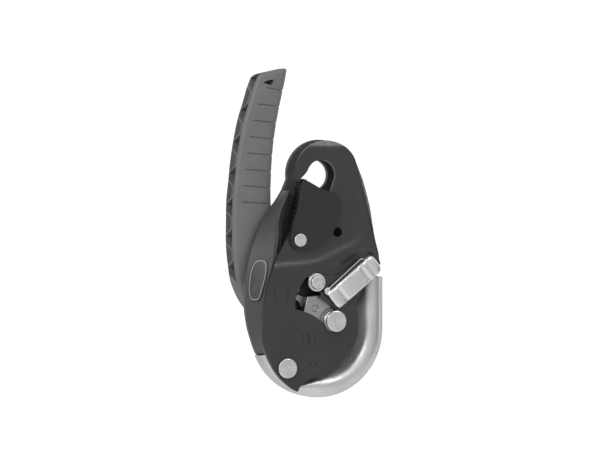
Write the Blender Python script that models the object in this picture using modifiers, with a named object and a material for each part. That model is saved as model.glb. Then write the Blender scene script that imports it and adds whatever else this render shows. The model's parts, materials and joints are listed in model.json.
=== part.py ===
"""Self-braking belay device with a lever handle, modelled as its separate pieces.

All sizes are in millimetres and are scaled to metres when a mesh is made. Points in the
front view are (x, z) pairs. Depths run along y: the front of the device is at negative y,
the fixed side plate is behind the rope channel and the handle is behind the fixed plate.
The origin is the centre of the connector hole, halfway through the rope channel.
"""
import math

import bmesh
import bpy

MM = 0.001

# Overall sizes.
ROPE_MAX = 11.5
ROPE_PLAY = 0.7
PLATE_THICKNESS = 3.0
FIXED_THICKNESS = 4.0
JOGGLE = 1.2
HANDLE_DEPTH = 16.0
GAP = 0.3

# Depths worked out from them.
CHANNEL = ROPE_MAX + ROPE_PLAY
PLATE_BACK = -CHANNEL / 2
PLATE_FRONT = PLATE_BACK - PLATE_THICKNESS
UPPER_FRONT = PLATE_FRONT + JOGGLE
UPPER_BACK = PLATE_BACK + JOGGLE
FIXED_FRONT = CHANNEL / 2
FIXED_BACK = FIXED_FRONT + FIXED_THICKNESS
WALL_FRONT = UPPER_BACK + GAP

# Centres in the front view.
EYE = (4.0, 0.5)
CONNECTOR = (0.0, 0.0)
GATE_PIVOT = (-15.8, -42.0)
BRAKE_PIVOT = (-3.8, -69.5)
AXLE = (8.7, -94.8)
PLATE_PIVOT = (-24.4, -124.8)
BOWL = (1.4, -100.2)

# Radii in the front view.
EYE_RADIUS = 22.5
CONNECTOR_RADIUS = 9.9
BOWL_RADIUS = 44.4
WEAR_THICKNESS = 1.4
AXLE_RADIUS = 6.2
AXLE_NECK_RADIUS = 5.6
AXLE_HEAD_RADIUS = 6.9
AXLE_TAIL_RADIUS = 5.0
PIVOT_RADIUS = 3.0
SPACER_RADIUS = 4.0
GATE_PIN_RADIUS = 2.2
BRAKE_PIN_RADIUS = 2.4
SMALL_RIVET_RADIUS = 1.6
BORE_PLAY = 0.25

# Handle and clutch.
DISC_RADIUS = 19.0
DISC_THICKNESS = 1.8
HUB_RADIUS = 21.0
HUB_DEPTH = 13.4
HUB_PROUD = 0.15
DRIVE_PIN_RADIUS = 2.5
DRIVE_PIN_ORBIT = 14.0
DRIVE_PIN_ANGLE = 250.0
CAM_TRAVEL = 22.0
DISC_FRONT = FIXED_BACK + 1.6
DISC_BACK = DISC_FRONT + DISC_THICKNESS
HANDLE_FRONT = DISC_BACK + 0.4
HANDLE_BACK = HANDLE_FRONT + HANDLE_DEPTH
HUB_BACK = HANDLE_FRONT + HUB_DEPTH

# Small parts.
GATE_THICKNESS = 2.0
GATE_FRONT = UPPER_FRONT - GAP - GATE_THICKNESS
GATE_WALL_BACK = 2.0
CAM_FRONT = PLATE_BACK + 0.9
CAM_BACK = 2.0
POCKET_FLOOR = 1.2
ARM_THICKNESS = 1.3
BADGE_THICKNESS = 0.5

parts = None
cutters = None


# Points in the front view ---------------------------------------------------------------

def polar(centre, radius, angle):
    """The point at a radius and an angle in degrees from a centre."""
    turn = math.radians(angle)
    return (centre[0] + radius * math.cos(turn), centre[1] + radius * math.sin(turn))


def arc(centre, radius, start, end, step=8.0):
    """Points on a circle from one angle to another, in degrees."""
    count = max(2, round(abs(end - start) / step))
    return [polar(centre, radius, start + (end - start) * i / count) for i in range(count + 1)]


def circle(centre, radius, sides=32):
    """A full circle as a closed outline."""
    return [polar(centre, radius, 360.0 * i / sides) for i in range(sides)]


def smooth(points, spans=3):
    """A Catmull-Rom curve through the points, both ends included."""
    padded = [points[0]] + list(points) + [points[-1]]
    curve = []
    for before, a, b, after in zip(padded, padded[1:], padded[2:], padded[3:]):
        for i in range(spans):
            t = i / spans
            curve.append(tuple(
                0.5 * (2 * a[k] + (b[k] - before[k]) * t
                       + (2 * before[k] - 5 * a[k] + 4 * b[k] - after[k]) * t * t
                       + (3 * a[k] - before[k] - 3 * b[k] + after[k]) * t ** 3)
                for k in range(len(a))))
    return curve + [tuple(points[-1])]


def distance(a, b):
    """The distance between two points of the front view."""
    return math.hypot(a[0] - b[0], a[1] - b[1])


def bearing(a, b):
    """The angle in degrees from point a to point b."""
    return math.degrees(math.atan2(b[1] - a[1], b[0] - a[0]))


# Blender helpers ------------------------------------------------------------------------

def clear_scene():
    """Remove everything that a new file starts with."""
    for item in list(bpy.data.objects):
        bpy.data.objects.remove(item, do_unlink=True)


def new_collection(name):
    """A collection in the scene."""
    collection = bpy.data.collections.new(name)
    bpy.context.scene.collection.children.link(collection)
    return collection


def material(name, color, metallic, roughness):
    """A Principled material."""
    made = bpy.data.materials.new(name)
    made.use_nodes = True
    shader = made.node_tree.nodes["Principled BSDF"]
    shader.inputs["Base Color"].default_value = (*color, 1.0)
    shader.inputs["Metallic"].default_value = metallic
    shader.inputs["Roughness"].default_value = roughness
    return made


def bake(item):
    """Turn an object with its modifiers, or a curve, into a plain welded mesh."""
    graph = bpy.context.evaluated_depsgraph_get()
    mesh = bpy.data.meshes.new_from_object(item.evaluated_get(graph))
    mesh.transform(item.matrix_world)
    work = bmesh.new()
    work.from_mesh(mesh)
    bmesh.ops.remove_doubles(work, verts=work.verts, dist=1e-7)
    bmesh.ops.recalc_face_normals(work, faces=work.faces)
    work.to_mesh(mesh)
    work.free()
    name = item.name
    bpy.data.objects.remove(item, do_unlink=True)
    solid = bpy.data.objects.new(name, mesh)
    parts.objects.link(solid)
    return solid


def prism(name, outlines, front, back):
    """A flat piece: closed front-view outlines, holes included, between two depths."""
    curve = bpy.data.curves.new(name, "CURVE")
    curve.dimensions = "2D"
    curve.fill_mode = "BOTH"
    curve.extrude = (back - front) / 2 * MM
    for outline in outlines:
        spline = curve.splines.new("POLY")
        spline.points.add(len(outline) - 1)
        spline.use_cyclic_u = True
        for point, (x, z) in zip(spline.points, outline):
            point.co = (x * MM, z * MM, 0.0, 1.0)
    item = bpy.data.objects.new(name, curve)
    item.rotation_euler = (math.pi / 2, 0.0, 0.0)
    item.location = (0.0, (front + back) / 2 * MM, 0.0)
    parts.objects.link(item)
    bpy.context.view_layer.update()
    return bake(item)


def turned(name, centre, profile, closed=False, sides=32):
    """A turned piece about a y axis: (radius, depth) pairs, front to back on the outside."""
    mesh = bpy.data.meshes.new(name)
    points = [(radius * MM, 0.0, -depth * MM) for radius, depth in profile]
    edges = [(i, i + 1) for i in range(len(points) - 1)]
    if closed:
        edges.append((len(points) - 1, 0))
    mesh.from_pydata(points, edges, [])
    item = bpy.data.objects.new(name, mesh)
    item.rotation_euler = (math.pi / 2, 0.0, 0.0)
    item.location = (centre[0] * MM, 0.0, centre[1] * MM)
    parts.objects.link(item)
    screw = item.modifiers.new("Screw", "SCREW")
    screw.axis = "Z"
    screw.steps = sides
    screw.render_steps = sides
    screw.use_merge_vertices = True
    screw.merge_threshold = 1e-6
    bpy.context.view_layer.update()
    return bake(item)


def loft(name, rings):
    """A closed skin over rings of (x, y, z) points, each ring with the same count."""
    work = bmesh.new()
    rows = [[work.verts.new([value * MM for value in point]) for point in ring] for ring in rings]
    count = len(rows[0])
    for low, high in zip(rows, rows[1:]):
        for i in range(count):
            j = (i + 1) % count
            work.faces.new((low[i], low[j], high[j], high[i]))
    work.faces.new(rows[0])
    work.faces.new(rows[-1])
    bmesh.ops.recalc_face_normals(work, faces=work.faces)
    mesh = bpy.data.meshes.new(name)
    work.to_mesh(mesh)
    work.free()
    item = bpy.data.objects.new(name, mesh)
    parts.objects.link(item)
    return item


def tube(name, points, radius):
    """A bent wire through (x, y, z) points."""
    curve = bpy.data.curves.new(name, "CURVE")
    curve.dimensions = "3D"
    curve.bevel_depth = radius * MM
    curve.bevel_resolution = 2
    curve.use_fill_caps = True
    spline = curve.splines.new("POLY")
    spline.points.add(len(points) - 1)
    for point, place in zip(spline.points, points):
        point.co = (*[value * MM for value in place], 1.0)
    item = bpy.data.objects.new(name, curve)
    parts.objects.link(item)
    bpy.context.view_layer.update()
    return bake(item)


def boolean(target, tool, operation):
    """Cut a tool from a piece, or join it to the piece."""
    for collection in list(tool.users_collection):
        collection.objects.unlink(tool)
    cutters.objects.link(tool)
    tool.hide_render = True
    tool.display_type = "WIRE"
    change = target.modifiers.new(tool.name, "BOOLEAN")
    change.operation = operation
    change.solver = "EXACT"
    change.object = tool


def cut(target, tool):
    """Cut a tool from a piece."""
    boolean(target, tool, "DIFFERENCE")


def join(target, tool):
    """Join a tool to a piece."""
    boolean(target, tool, "UNION")


def bevel(item, width):
    """Break the sharp edges of a piece."""
    edge = item.modifiers.new("Bevel", "BEVEL")
    edge.width = width * MM
    edge.segments = 1
    edge.limit_method = "ANGLE"
    edge.angle_limit = math.radians(50)


def finish(item, coat, pivot=None):
    """Give a piece its material, smooth round faces and the pivot that it turns on."""
    item.data.materials.clear()
    item.data.materials.append(coat)
    item.data.shade_smooth()
    item.data.set_sharp_from_angle(angle=math.radians(35))
    if pivot:
        item.parent = pivot
        item.matrix_parent_inverse = pivot.matrix_world.inverted()


def pivot_empty(name, centre):
    """An empty on a joint axis."""
    empty = bpy.data.objects.new(name, None)
    empty.location = (centre[0] * MM, 0.0, centre[1] * MM)
    parts.objects.link(empty)
    bpy.context.view_layer.update()
    return empty


def rivet(name, centre, radius, head_radius, front, head_depth, back, tail_radius, tail_depth):
    """A rivet: front head, shank and tail, with its front and back faces at given depths."""
    rim = 0.4
    return turned(name, centre, [
        (0.0, front), (head_radius - rim, front), (head_radius, front + rim),
        (head_radius, front + head_depth), (radius, front + head_depth),
        (radius, back - tail_depth), (tail_radius, back - tail_depth),
        (tail_radius, back), (0.0, back)], sides=20)


# Fixed side plate and what is riveted to it ------------------------------------------------

FLANK = [
    # height, front edge, back edge
    (-10.0, -23.2, -21.4), (-16.0, -25.8, -25.2), (-22.8, -28.9, -30.4), (-30.5, -30.7, -35.4),
    (-38.4, -30.4, -39.3), (-47.5, -31.9, -42.9), (-56.0, -32.4, -45.3), (-66.0, -34.9, -46.9),
    (-74.0, -37.2, -47.3), (-86.5, -38.9, -47.1), (-97.8, -40.4, -45.4), (-105.0, -40.2, -43.4),
    (-111.0, -39.0, -41.4), (-115.5, -37.4, -39.6)]
FLANK_THICKNESS = 2.4
WEAR_START = 204.0
WEAR_TOP = -66.5


def fixed_outline():
    """The fixed plate seen from the front."""
    inner = BOWL_RADIUS - WEAR_THICKNESS - GAP
    left = [(back, z) for z, front, back in FLANK]
    side = BOWL[0] + inner
    right = [(side, WEAR_TOP), (side - 2.2, WEAR_TOP + 5.5), (39.2, -48.0), (34.6, -26.0), (29.4, -6.0)]
    return (arc(EYE, EYE_RADIUS, 20, 188) + smooth(left) + arc(BOWL, inner, WEAR_START - 1, 360)
            + smooth(right))


def flank_wall():
    """The sloping wall on the left of the fixed plate."""
    rear = FIXED_FRONT + FIXED_THICKNESS / 2
    inset = 0.15
    rings = []
    for z, front, back in FLANK:
        rings.append([
            (front, WALL_FRONT, z), (back + inset, FIXED_FRONT, z), (back + inset, rear, z),
            (back + inset + FLANK_THICKNESS * 1.5, rear, z),
            (back + inset + FLANK_THICKNESS * 1.5, FIXED_FRONT, z),
            (front + FLANK_THICKNESS, WALL_FRONT, z)])
    return loft("flank_wall", rings)


def drive_slot():
    """The curved slot that the cam's drive pin moves in."""
    half = DRIVE_PIN_RADIUS + 0.5
    start = DRIVE_PIN_ANGLE - 2
    end = DRIVE_PIN_ANGLE + CAM_TRAVEL + 2
    return (arc(AXLE, DRIVE_PIN_ORBIT + half, start, end)
            + arc(polar(AXLE, DRIVE_PIN_ORBIT, end), half, end, end + 180, 30)
            + arc(AXLE, DRIVE_PIN_ORBIT - half, end, start)
            + arc(polar(AXLE, DRIVE_PIN_ORBIT, start), half, start + 180, start + 360, 30))


PAD_INNER = 30.5
PAD_WIDTH = 5.0
PAD_RIVET_ANGLES = (146.0, 174.0)
WEAR_RIVET_ANGLES = (272.0, 312.0, 352.0)
WEAR_RIVET_ORBIT = BOWL_RADIUS - 20.0


def rivet_places():
    """The centres of the small rivets through the fixed plate."""
    pad = [polar(AXLE, PAD_INNER + PAD_WIDTH / 2, angle) for angle in PAD_RIVET_ANGLES]
    wear = [polar(BOWL, WEAR_RIVET_ORBIT, angle) for angle in WEAR_RIVET_ANGLES]
    return pad, wear


def make_fixed_plate(coat):
    """The back plate with the connector eye, joined to its flank wall."""
    pad, wear = rivet_places()
    holes = [circle(CONNECTOR, CONNECTOR_RADIUS, 40), circle(AXLE, AXLE_RADIUS + BORE_PLAY, 32),
             circle(PLATE_PIVOT, PIVOT_RADIUS + BORE_PLAY), drive_slot()]
    holes += [circle(place, SMALL_RIVET_RADIUS + BORE_PLAY, 20) for place in pad + wear]
    plate = prism("fixed_side_plate", [fixed_outline()] + holes, FIXED_FRONT, FIXED_BACK)
    join(plate, flank_wall())
    collar = turned("eye_collar", CONNECTOR, [
        (15.0, FIXED_BACK - 1), (15.0, FIXED_BACK + 0.8), (11.5, FIXED_BACK + 0.8),
        (11.5, FIXED_BACK - 1)], closed=True)
    join(plate, collar)
    finish(plate, coat)


def wear_section(blend):
    """The wear plate's outer surface, from its foot to its skirt, as (radius, depth)."""
    outer = BOWL_RADIUS
    crest = WALL_FRONT
    foot = FIXED_FRONT - GAP
    skirt = FIXED_BACK - 0.4
    wide = [(outer - 22.2, foot - WEAR_THICKNESS), (outer - 17.0, foot - WEAR_THICKNESS),
            (outer - 16.0, foot - 2.6), (outer - 14.0, -0.2), (outer - 11.4, crest + 1.3),
            (outer - 8.2, crest), (outer - 5.2, crest + 0.5), (outer - 2.4, crest + 2.0),
            (outer, crest + 4.4), (outer, skirt)]
    narrow = [(outer - 4.4, foot - WEAR_THICKNESS), (outer - 4.3, foot - 3.0), (outer - 4.2, 1.0),
              (outer - 4.0, crest + 3.0), (outer - 3.4, crest + 1.0), (outer - 2.4, crest),
              (outer - 1.4, crest + 0.5), (outer - 0.6, crest + 2.0), (outer, crest + 4.4),
              (outer, skirt)]
    return [tuple(n + (w - n) * blend for n, w in zip(low, high))
            for low, high in zip(narrow, wide)]


def thickened(line, thickness):
    """A closed outline: an open line and its copy moved to the left of its direction."""
    copy = []
    for i, point in enumerate(line):
        before = line[max(i - 1, 0)]
        after = line[min(i + 1, len(line) - 1)]
        run = (after[0] - before[0], after[1] - before[1])
        length = math.hypot(*run)
        copy.append((point[0] - run[1] / length * thickness, point[1] + run[0] / length * thickness))
    return list(line) + copy[::-1]


def make_wear_plate(coat):
    """The folded steel plate that the rope runs over, around the lower right."""
    rings = []
    angles = [WEAR_START + (360.0 - WEAR_START) * i / 22 for i in range(23)]
    for angle in angles:
        ramp = min(max((angle - 240.0) / 42.0, 0.0), 1.0)
        blend = ramp * ramp * (3 - 2 * ramp)
        section = thickened(wear_section(blend), WEAR_THICKNESS)
        rings.append([(*polar(BOWL, radius, angle), depth) for radius, depth in section])
    for i in range(1, 4):
        z = BOWL[1] + (WEAR_TOP - BOWL[1]) * i / 3
        section = thickened(wear_section(1.0), WEAR_THICKNESS)
        rings.append([(BOWL[0] + radius, z, depth) for radius, depth in section])
    rings = [[(x, depth, z) for x, z, depth in ring] for ring in rings]
    plate = loft("wear_plate", rings)
    pad, wear = rivet_places()
    for i, place in enumerate(wear):
        hole = prism(f"wear_hole_{i + 1}", [circle(place, SMALL_RIVET_RADIUS + BORE_PLAY, 20)], 0, 12)
        cut(plate, hole)
    finish(plate, coat)


def make_pad(coat):
    """The steel pad that the cam pinches the rope against."""
    pad, wear = rivet_places()
    outer = PAD_INNER + PAD_WIDTH
    outline = arc(AXLE, PAD_INNER, 138, 184) + arc(AXLE, outer, 184, 138)
    holes = [circle(place, SMALL_RIVET_RADIUS + BORE_PLAY, 20) for place in pad]
    item = prism("friction_pad", [outline] + holes, WALL_FRONT, FIXED_FRONT - GAP)
    bevel(item, 0.4)
    finish(item, coat)


def make_small_rivets(coat):
    """The rivets of the pad and of the wear plate."""
    pad, wear = rivet_places()
    back = FIXED_BACK + GAP + 0.9
    for i, place in enumerate(pad):
        front = WALL_FRONT - 1.1
        item = rivet(f"pad_rivet_{i + 1}", place, SMALL_RIVET_RADIUS, 2.2, front, 0.8, back, 2.6, 0.9)
        finish(item, coat)
    for i, place in enumerate(wear):
        front = FIXED_FRONT - 2 * GAP - WEAR_THICKNESS - 0.9
        item = rivet(f"wear_rivet_{i + 1}", place, SMALL_RIVET_RADIUS, 2.4, front, 0.9, back, 2.4, 0.9)
        finish(item, coat)


def make_axle(coat):
    """The fixed axle of the cam and the handle, with its grooved head."""
    head_back = PLATE_FRONT - 0.4
    tail = HUB_BACK - 0.6
    item = turned("cam_axle", AXLE, [
        (0.0, head_back - 3.8), (AXLE_HEAD_RADIUS - 0.8, head_back - 3.8),
        (AXLE_HEAD_RADIUS, head_back - 3.0), (AXLE_HEAD_RADIUS, head_back),
        (AXLE_NECK_RADIUS, head_back), (AXLE_NECK_RADIUS, PLATE_BACK + 0.4),
        (AXLE_RADIUS, PLATE_BACK + 0.4), (AXLE_RADIUS, FIXED_BACK + 0.1),
        (AXLE_TAIL_RADIUS, FIXED_BACK + 0.1), (AXLE_TAIL_RADIUS, tail), (0.0, tail)])
    finish(item, coat)
    washer = turned("axle_washer", AXLE, ring(AXLE_TAIL_RADIUS + BORE_PLAY, 9.5, HUB_BACK - 5.1, 1.0),
                    closed=True)
    finish(washer, coat)
    outline = [polar(AXLE, 8.6, 60 * i + 10) for i in range(6)]
    nut = prism("axle_nut", [outline, circle(AXLE, AXLE_TAIL_RADIUS + BORE_PLAY, 32)],
                HUB_BACK - 3.8, HUB_BACK - 0.8)
    bevel(nut, 0.3)
    finish(nut, coat)


def ring(inner, outer, front, depth):
    """The turned profile of a plain ring."""
    return [(outer, front), (outer, front + depth), (inner, front + depth), (inner, front)]


def make_plate_pivot(coat):
    """The rivet that the moving side plate turns on, with its spacer."""
    front = PLATE_FRONT - GAP - 2.1
    item = rivet("plate_pivot_rivet", PLATE_PIVOT, PIVOT_RADIUS, 6.4, front, 2.1,
                 FIXED_BACK + GAP + 1.1, 5.2, 1.1)
    finish(item, coat)
    spacer = turned("plate_pivot_spacer", PLATE_PIVOT, ring(
        PIVOT_RADIUS + BORE_PLAY, SPACER_RADIUS, PLATE_BACK + GAP, CHANNEL - 2 * GAP), closed=True)
    finish(spacer, coat)


def make_badge(coat):
    """The blank oblong label on the flank wall."""
    heights = smooth([(-52.0, 0.0), (-56.0, 5.0), (-64.0, 6.4), (-74.0, 6.2), (-80.5, 4.6),
                      (-84.0, 0.0)], 3)
    rows = sorted(FLANK)
    rings = []
    for z, half in heights:
        low = max(row for row in rows if row[0] <= z)
        high = min(row for row in rows if row[0] >= z)
        t = 0.0 if high[0] == low[0] else (z - low[0]) / (high[0] - low[0])
        front = low[1] + (high[1] - low[1]) * t
        back = low[2] + (high[2] - low[2]) * t
        length = math.hypot(back - front, FIXED_FRONT - WALL_FRONT)
        along = ((back - front) / length, (FIXED_FRONT - WALL_FRONT) / length)
        out = (-along[1], along[0])
        middle = length * 0.47
        start, end = middle - max(half, 0.4), middle + max(half, 0.4)
        near, far = 2 * GAP, 2 * GAP + BADGE_THICKNESS
        rings.append([(front + along[0] * s + out[0] * d, WALL_FRONT + along[1] * s + out[1] * d, z)
                      for s, d in ((start, near), (end, near), (end, far), (start, far))])
    finish(loft("flank_badge", rings), coat)


# Cam group ------------------------------------------------------------------------------------

CATCH_PIVOT = (-3.3, -86.5)
CAM_BORE = 8.4


def make_cam(coat, coat_pin, pivot, catch_pivot):
    """The cam with its bushing, the drive pin, the clutch disc and the catch."""
    pin_place = polar(AXLE, DRIVE_PIN_ORBIT, DRIVE_PIN_ANGLE)
    outline = ([(-11.2, -89.5), (-8.6, -78.9)]
               + smooth([(-0.3, -78.2), (12.0, -77.0), (21.8, -82.5), (25.4, -93.5), (22.5, -104.5),
                         (13.5, -110.8), (3.0, -111.5), (-5.0, -106.0), (-9.5, -98.0)]))
    holes = [circle(AXLE, CAM_BORE + BORE_PLAY, 40), circle(pin_place, DRIVE_PIN_RADIUS + BORE_PLAY, 24),
             circle(CATCH_PIVOT, 2.0 + BORE_PLAY, 24)]
    cam = prism("cam", [outline] + holes, CAM_FRONT, CAM_BACK)
    bevel(cam, 0.9)
    finish(cam, coat, pivot)
    bush = turned("cam_bushing", AXLE, ring(AXLE_RADIUS + BORE_PLAY, CAM_BORE, CAM_FRONT,
                                            FIXED_FRONT - GAP - CAM_FRONT), closed=True)
    finish(bush, coat_pin, pivot)
    pin = turned("drive_pin", pin_place, [
        (0.0, CAM_FRONT + 0.3), (DRIVE_PIN_RADIUS, CAM_FRONT + 0.3),
        (DRIVE_PIN_RADIUS, DISC_BACK - 0.2), (0.0, DISC_BACK - 0.2)], sides=24)
    finish(pin, coat_pin, pivot)
    disc = prism("clutch_disc", [circle(AXLE, DISC_RADIUS, 48), circle(AXLE, AXLE_TAIL_RADIUS + 0.4, 32),
                                 circle(pin_place, DRIVE_PIN_RADIUS + BORE_PLAY, 24)],
                 DISC_FRONT, DISC_BACK)
    finish(disc, coat, pivot)
    catch_pin = turned("catch_pin", CATCH_PIVOT, [
        (0.0, CAM_FRONT + 0.5), (2.0, CAM_FRONT + 0.5), (2.0, FIXED_FRONT - GAP),
        (0.0, FIXED_FRONT - GAP)], sides=24)
    finish(catch_pin, coat_pin, pivot)
    hook = (arc(CATCH_PIVOT, 4.6, -120, 60) + [(-8.0, -79.5), (-12.5, -77.8), (-14.6, -80.0),
                                               (-11.6, -82.6), (-9.4, -88.0)])
    catch = prism("anti_error_catch", [hook, circle(CATCH_PIVOT, 2.0 + BORE_PLAY, 24)],
                  CAM_BACK + GAP, FIXED_FRONT - 2 * GAP)
    finish(catch, coat, catch_pivot)


# Handle ------------------------------------------------------------------------------------------

RAILS = [
    # left edge, right edge of the lever seen from the front, from the tip to the hub
    (-34.5, 65.5, -14.2, 70.0), (-38.0, 57.0, -15.9, 61.0), (-40.5, 48.8, -18.2, 51.0),
    (-44.6, 35.8, -21.2, 37.0), (-47.4, 22.8, -23.4, 23.5), (-49.5, 9.8, -24.8, 10.0),
    (-50.9, -3.3, -25.5, -3.5), (-52.3, -16.3, -25.6, -17.0), (-52.6, -31.0, -24.2, -31.0),
    (-52.6, -45.5, -21.0, -46.0), (-51.4, -58.0, -14.0, -61.0), (-48.8, -71.5, -3.0, -73.5),
    (-40.5, -86.5, 9.0, -77.0), (-24.0, -100.5, 12.0, -86.0), (-6.0, -111.0, 13.0, -95.0)]
RIB_PITCH = 10.25
RIB_HALF = 0.55
POCKET_COUNT = 13
POCKET_TOP = 60.7
POCKET_LONG = 7.6
POCKET_DEPTHS = (7.5, 3.0)


def lever_section(left, right):
    """One cross-section of the lever as a ring of (x, y, z) points."""
    width = distance(left, right)
    front, back = HANDLE_FRONT, HANDLE_BACK
    soft, crisp = 3.0, 1.6
    ring_points = [(crisp, front), (width - soft, front), (width - soft * 0.3, front + soft * 0.3),
                   (width, front + soft), (width, back - soft), (width - soft * 0.3, back - soft * 0.3),
                   (width - soft, back), (crisp, back), (0.0, back - crisp), (0.0, front + crisp)]
    return [(left[0] + (right[0] - left[0]) * s / width, y, left[1] + (right[1] - left[1]) * s / width)
            for s, y in ring_points]


def lever_edge(height):
    """The left edge of the lever at a height."""
    for upper, lower in zip(RAILS, RAILS[1:]):
        if lower[1] <= height <= upper[1]:
            t = (height - lower[1]) / (upper[1] - lower[1])
            return lower[0] + (upper[0] - lower[0]) * t
    return RAILS[0][0]


def rib_pockets():
    """Pockets in the lever's left side, wide in front and wide behind in turn, with ribs between."""
    near, far = HANDLE_FRONT + 2.6, HANDLE_BACK - 1.4
    tools = []
    for i in range(POCKET_COUNT):
        middle = POCKET_TOP - i * RIB_PITCH
        halves = [(near, POCKET_LONG - RIB_HALF), (far, RIB_PITCH - POCKET_LONG - RIB_HALF)]
        if i % 2:
            halves = [(near, RIB_PITCH - POCKET_LONG - RIB_HALF), (far, POCKET_LONG - RIB_HALF)]
        ring_out, ring_in = [], []
        for depth, z in ((halves[0][0], middle + halves[0][1]), (halves[1][0], middle + halves[1][1]),
                         (halves[1][0], middle - halves[1][1]), (halves[0][0], middle - halves[0][1])):
            edge = lever_edge(z)
            ring_out.append((edge - 3.0, depth, z))
            ring_in.append((edge + POCKET_DEPTHS[i % 2], depth, z))
        tools.append(loft(f"rib_pocket_{i + 1}", [ring_out, ring_in]))
    return tools


def hub_profile():
    """The hub's section: a recess for the return spring in front and one for the nut behind."""
    front, back = HANDLE_FRONT - HUB_PROUD, HUB_BACK + HUB_PROUD
    bore, nut, inner, outer = 9.2, 13.0, 11.4, 17.4
    web = HANDLE_FRONT + 6.4
    floor = HUB_BACK - 5.4
    return [(HUB_RADIUS, front), (HUB_RADIUS, back), (nut, back), (nut, floor), (bore, floor),
            (bore, front), (inner, front), (inner, web), (outer, web), (outer, front)]


def make_handle(coat, coat_metal, coat_button, pivot):
    """The lever with its hub, insert, return spring, cap and travel button."""
    rails = smooth(RAILS, 2)
    lever = loft("handle", [lever_section((a, b), (c, d)) for a, b, c, d in rails])
    cut(lever, prism("hub_clearance", [circle(AXLE, HUB_RADIUS + 3.0, 40)], HUB_BACK, HANDLE_BACK + 1))
    cut(lever, prism("hub_opening", [circle(AXLE, HUB_RADIUS - 1.5, 40)], HANDLE_FRONT - 1, HUB_BACK + 1))
    join(lever, turned("handle_hub", AXLE, hub_profile(), closed=True, sides=40))
    cut(lever, prism("tip_hole", [[(-32.1, 60.1), (-24.8, 62.0), (-26.5, 58.5)]],
                     HANDLE_FRONT - 1, HANDLE_BACK + 1))
    for tool in rib_pockets():
        cut(lever, tool)
    button_place = polar(AXLE, 34.0, 148.0)
    cut(lever, prism("button_well", [circle(button_place, 5.4)], HANDLE_BACK - 6.0, HANDLE_BACK + 1))
    finish(lever, coat, pivot)
    insert = turned("handle_insert", AXLE, ring(
        AXLE_TAIL_RADIUS + BORE_PLAY, 8.9, HANDLE_FRONT, HUB_DEPTH - 5.4), closed=True)
    finish(insert, coat_metal, pivot)
    turns, orbit, wire, pitch = 3, 14.4, 0.6, 1.45
    steps = 16
    coil = [(*polar(AXLE, orbit, 360.0 * i / steps), HANDLE_FRONT + 0.9 + i * pitch / steps)
            for i in range(turns * steps + 1)]
    spring = tube("handle_return_spring", [(x, y, z) for x, z, y in coil], wire)
    finish(spring, coat_metal, pivot)
    cap = turned("hub_cap", AXLE, [
        (0.0, HUB_BACK + 2 * GAP), (18.0, HUB_BACK + 2 * GAP), (18.0, HUB_BACK + 1.6), (16.6, HUB_BACK + 2.6),
        (0.0, HUB_BACK + 2.6)])
    finish(cap, coat, pivot)
    return button_place


def make_button(coat, coat_spring, place, pivot):
    """The travel button in the back of the lever, with its spring."""
    button = turned("travel_button", place, [
        (0.0, HANDLE_BACK - 3.0), (5.0, HANDLE_BACK - 3.0), (5.0, HANDLE_BACK + 0.6),
        (4.4, HANDLE_BACK + 1.2), (0.0, HANDLE_BACK + 1.2)], sides=28)
    finish(button, coat)
    steps, turns = 10, 3
    coil = [(*polar(place, 3.2, 360.0 * i / steps), HANDLE_BACK - 5.3 + i * 0.62 / steps)
            for i in range(turns * steps + 1)]
    spring = tube("button_spring", [(x, y, z) for x, z, y in coil], 0.35)
    finish(spring, coat_spring, pivot)


# Moving side plate ------------------------------------------------------------------------------

JOGGLE_POINT = (-13.6, -53.6)
JOGGLE_ANGLE = 14.3
JOGGLE_RUN = 3.5
FOLD_TOP = (22.3, 13.0)
FOLD_BOTTOM = (37.2, -43.0)
FOLD_SLOPE = 0.9
SLOT_HALF = 6.2
BRAKE_EYE_RADIUS = 5.6


def moving_outline():
    """The moving plate seen from the front, from the right of its hook round to the left."""
    tip = [(-17.6, -2.4), (-16.7, -4.2), (-15.1, -4.0), (-14.2, -2.4), (-10.4, 1.6)]
    gate_side = [(6.9, -10.5), (-7.4, -29.5), (-10.6, -35.0)]
    left = [(-22.6, -39.4), (-27.5, -47.8), (-32.8, -58.5), (-36.0, -66.0), (-38.3, -74.1), (-40.0, -86.5),
            (-41.8, -99.5), (-41.4, -108.0), (-37.3, -118.3), (-31.1, -129.0), (-22.3, -137.2),
            (-16.8, -140.2)]
    lower = [(-15.4, -137.2), (-8.7, -132.6), (4.6, -128.0), (16.7, -118.6), (24.2, -106.0),
             (25.3, -97.8), (24.2, -83.2)]
    right = [(27.4, -75.5), (34.0, -66.5), (41.4, -58.5), (41.0, -55.5), (37.2, -42.0), (35.6, -31.0),
             (34.3, -20.0), (29.5, -3.0)]
    return (arc(EYE, EYE_RADIUS - 0.5, 18, 186) + tip + arc(CONNECTOR, CONNECTOR_RADIUS, 160, -30)
            + gate_side + arc(GATE_PIVOT, 7.2, 45, 150, 15) + smooth(left) + smooth(lower) + smooth(right))


def window_outline():
    """The window: a slot for the axle about the plate's pivot, opening up beside the brake pin."""
    orbit = distance(PLATE_PIVOT, AXLE)
    aim = bearing(PLATE_PIVOT, AXLE)
    inner, outer = orbit - SLOT_HALF, orbit + SLOT_HALF
    return (arc(PLATE_PIVOT, outer, aim, aim + 20)
            + arc(BRAKE_PIVOT, BRAKE_EYE_RADIUS, -62, -208, 12)
            + [(-10.6, -65.6), (-14.4, -70.6), (-17.4, -76.7), (-18.6, -82.0)]
            + arc(PLATE_PIVOT, inner, aim + 39, aim)
            + arc(AXLE, SLOT_HALF, aim + 180 + 15, aim + 360 - 15, 15))


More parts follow.
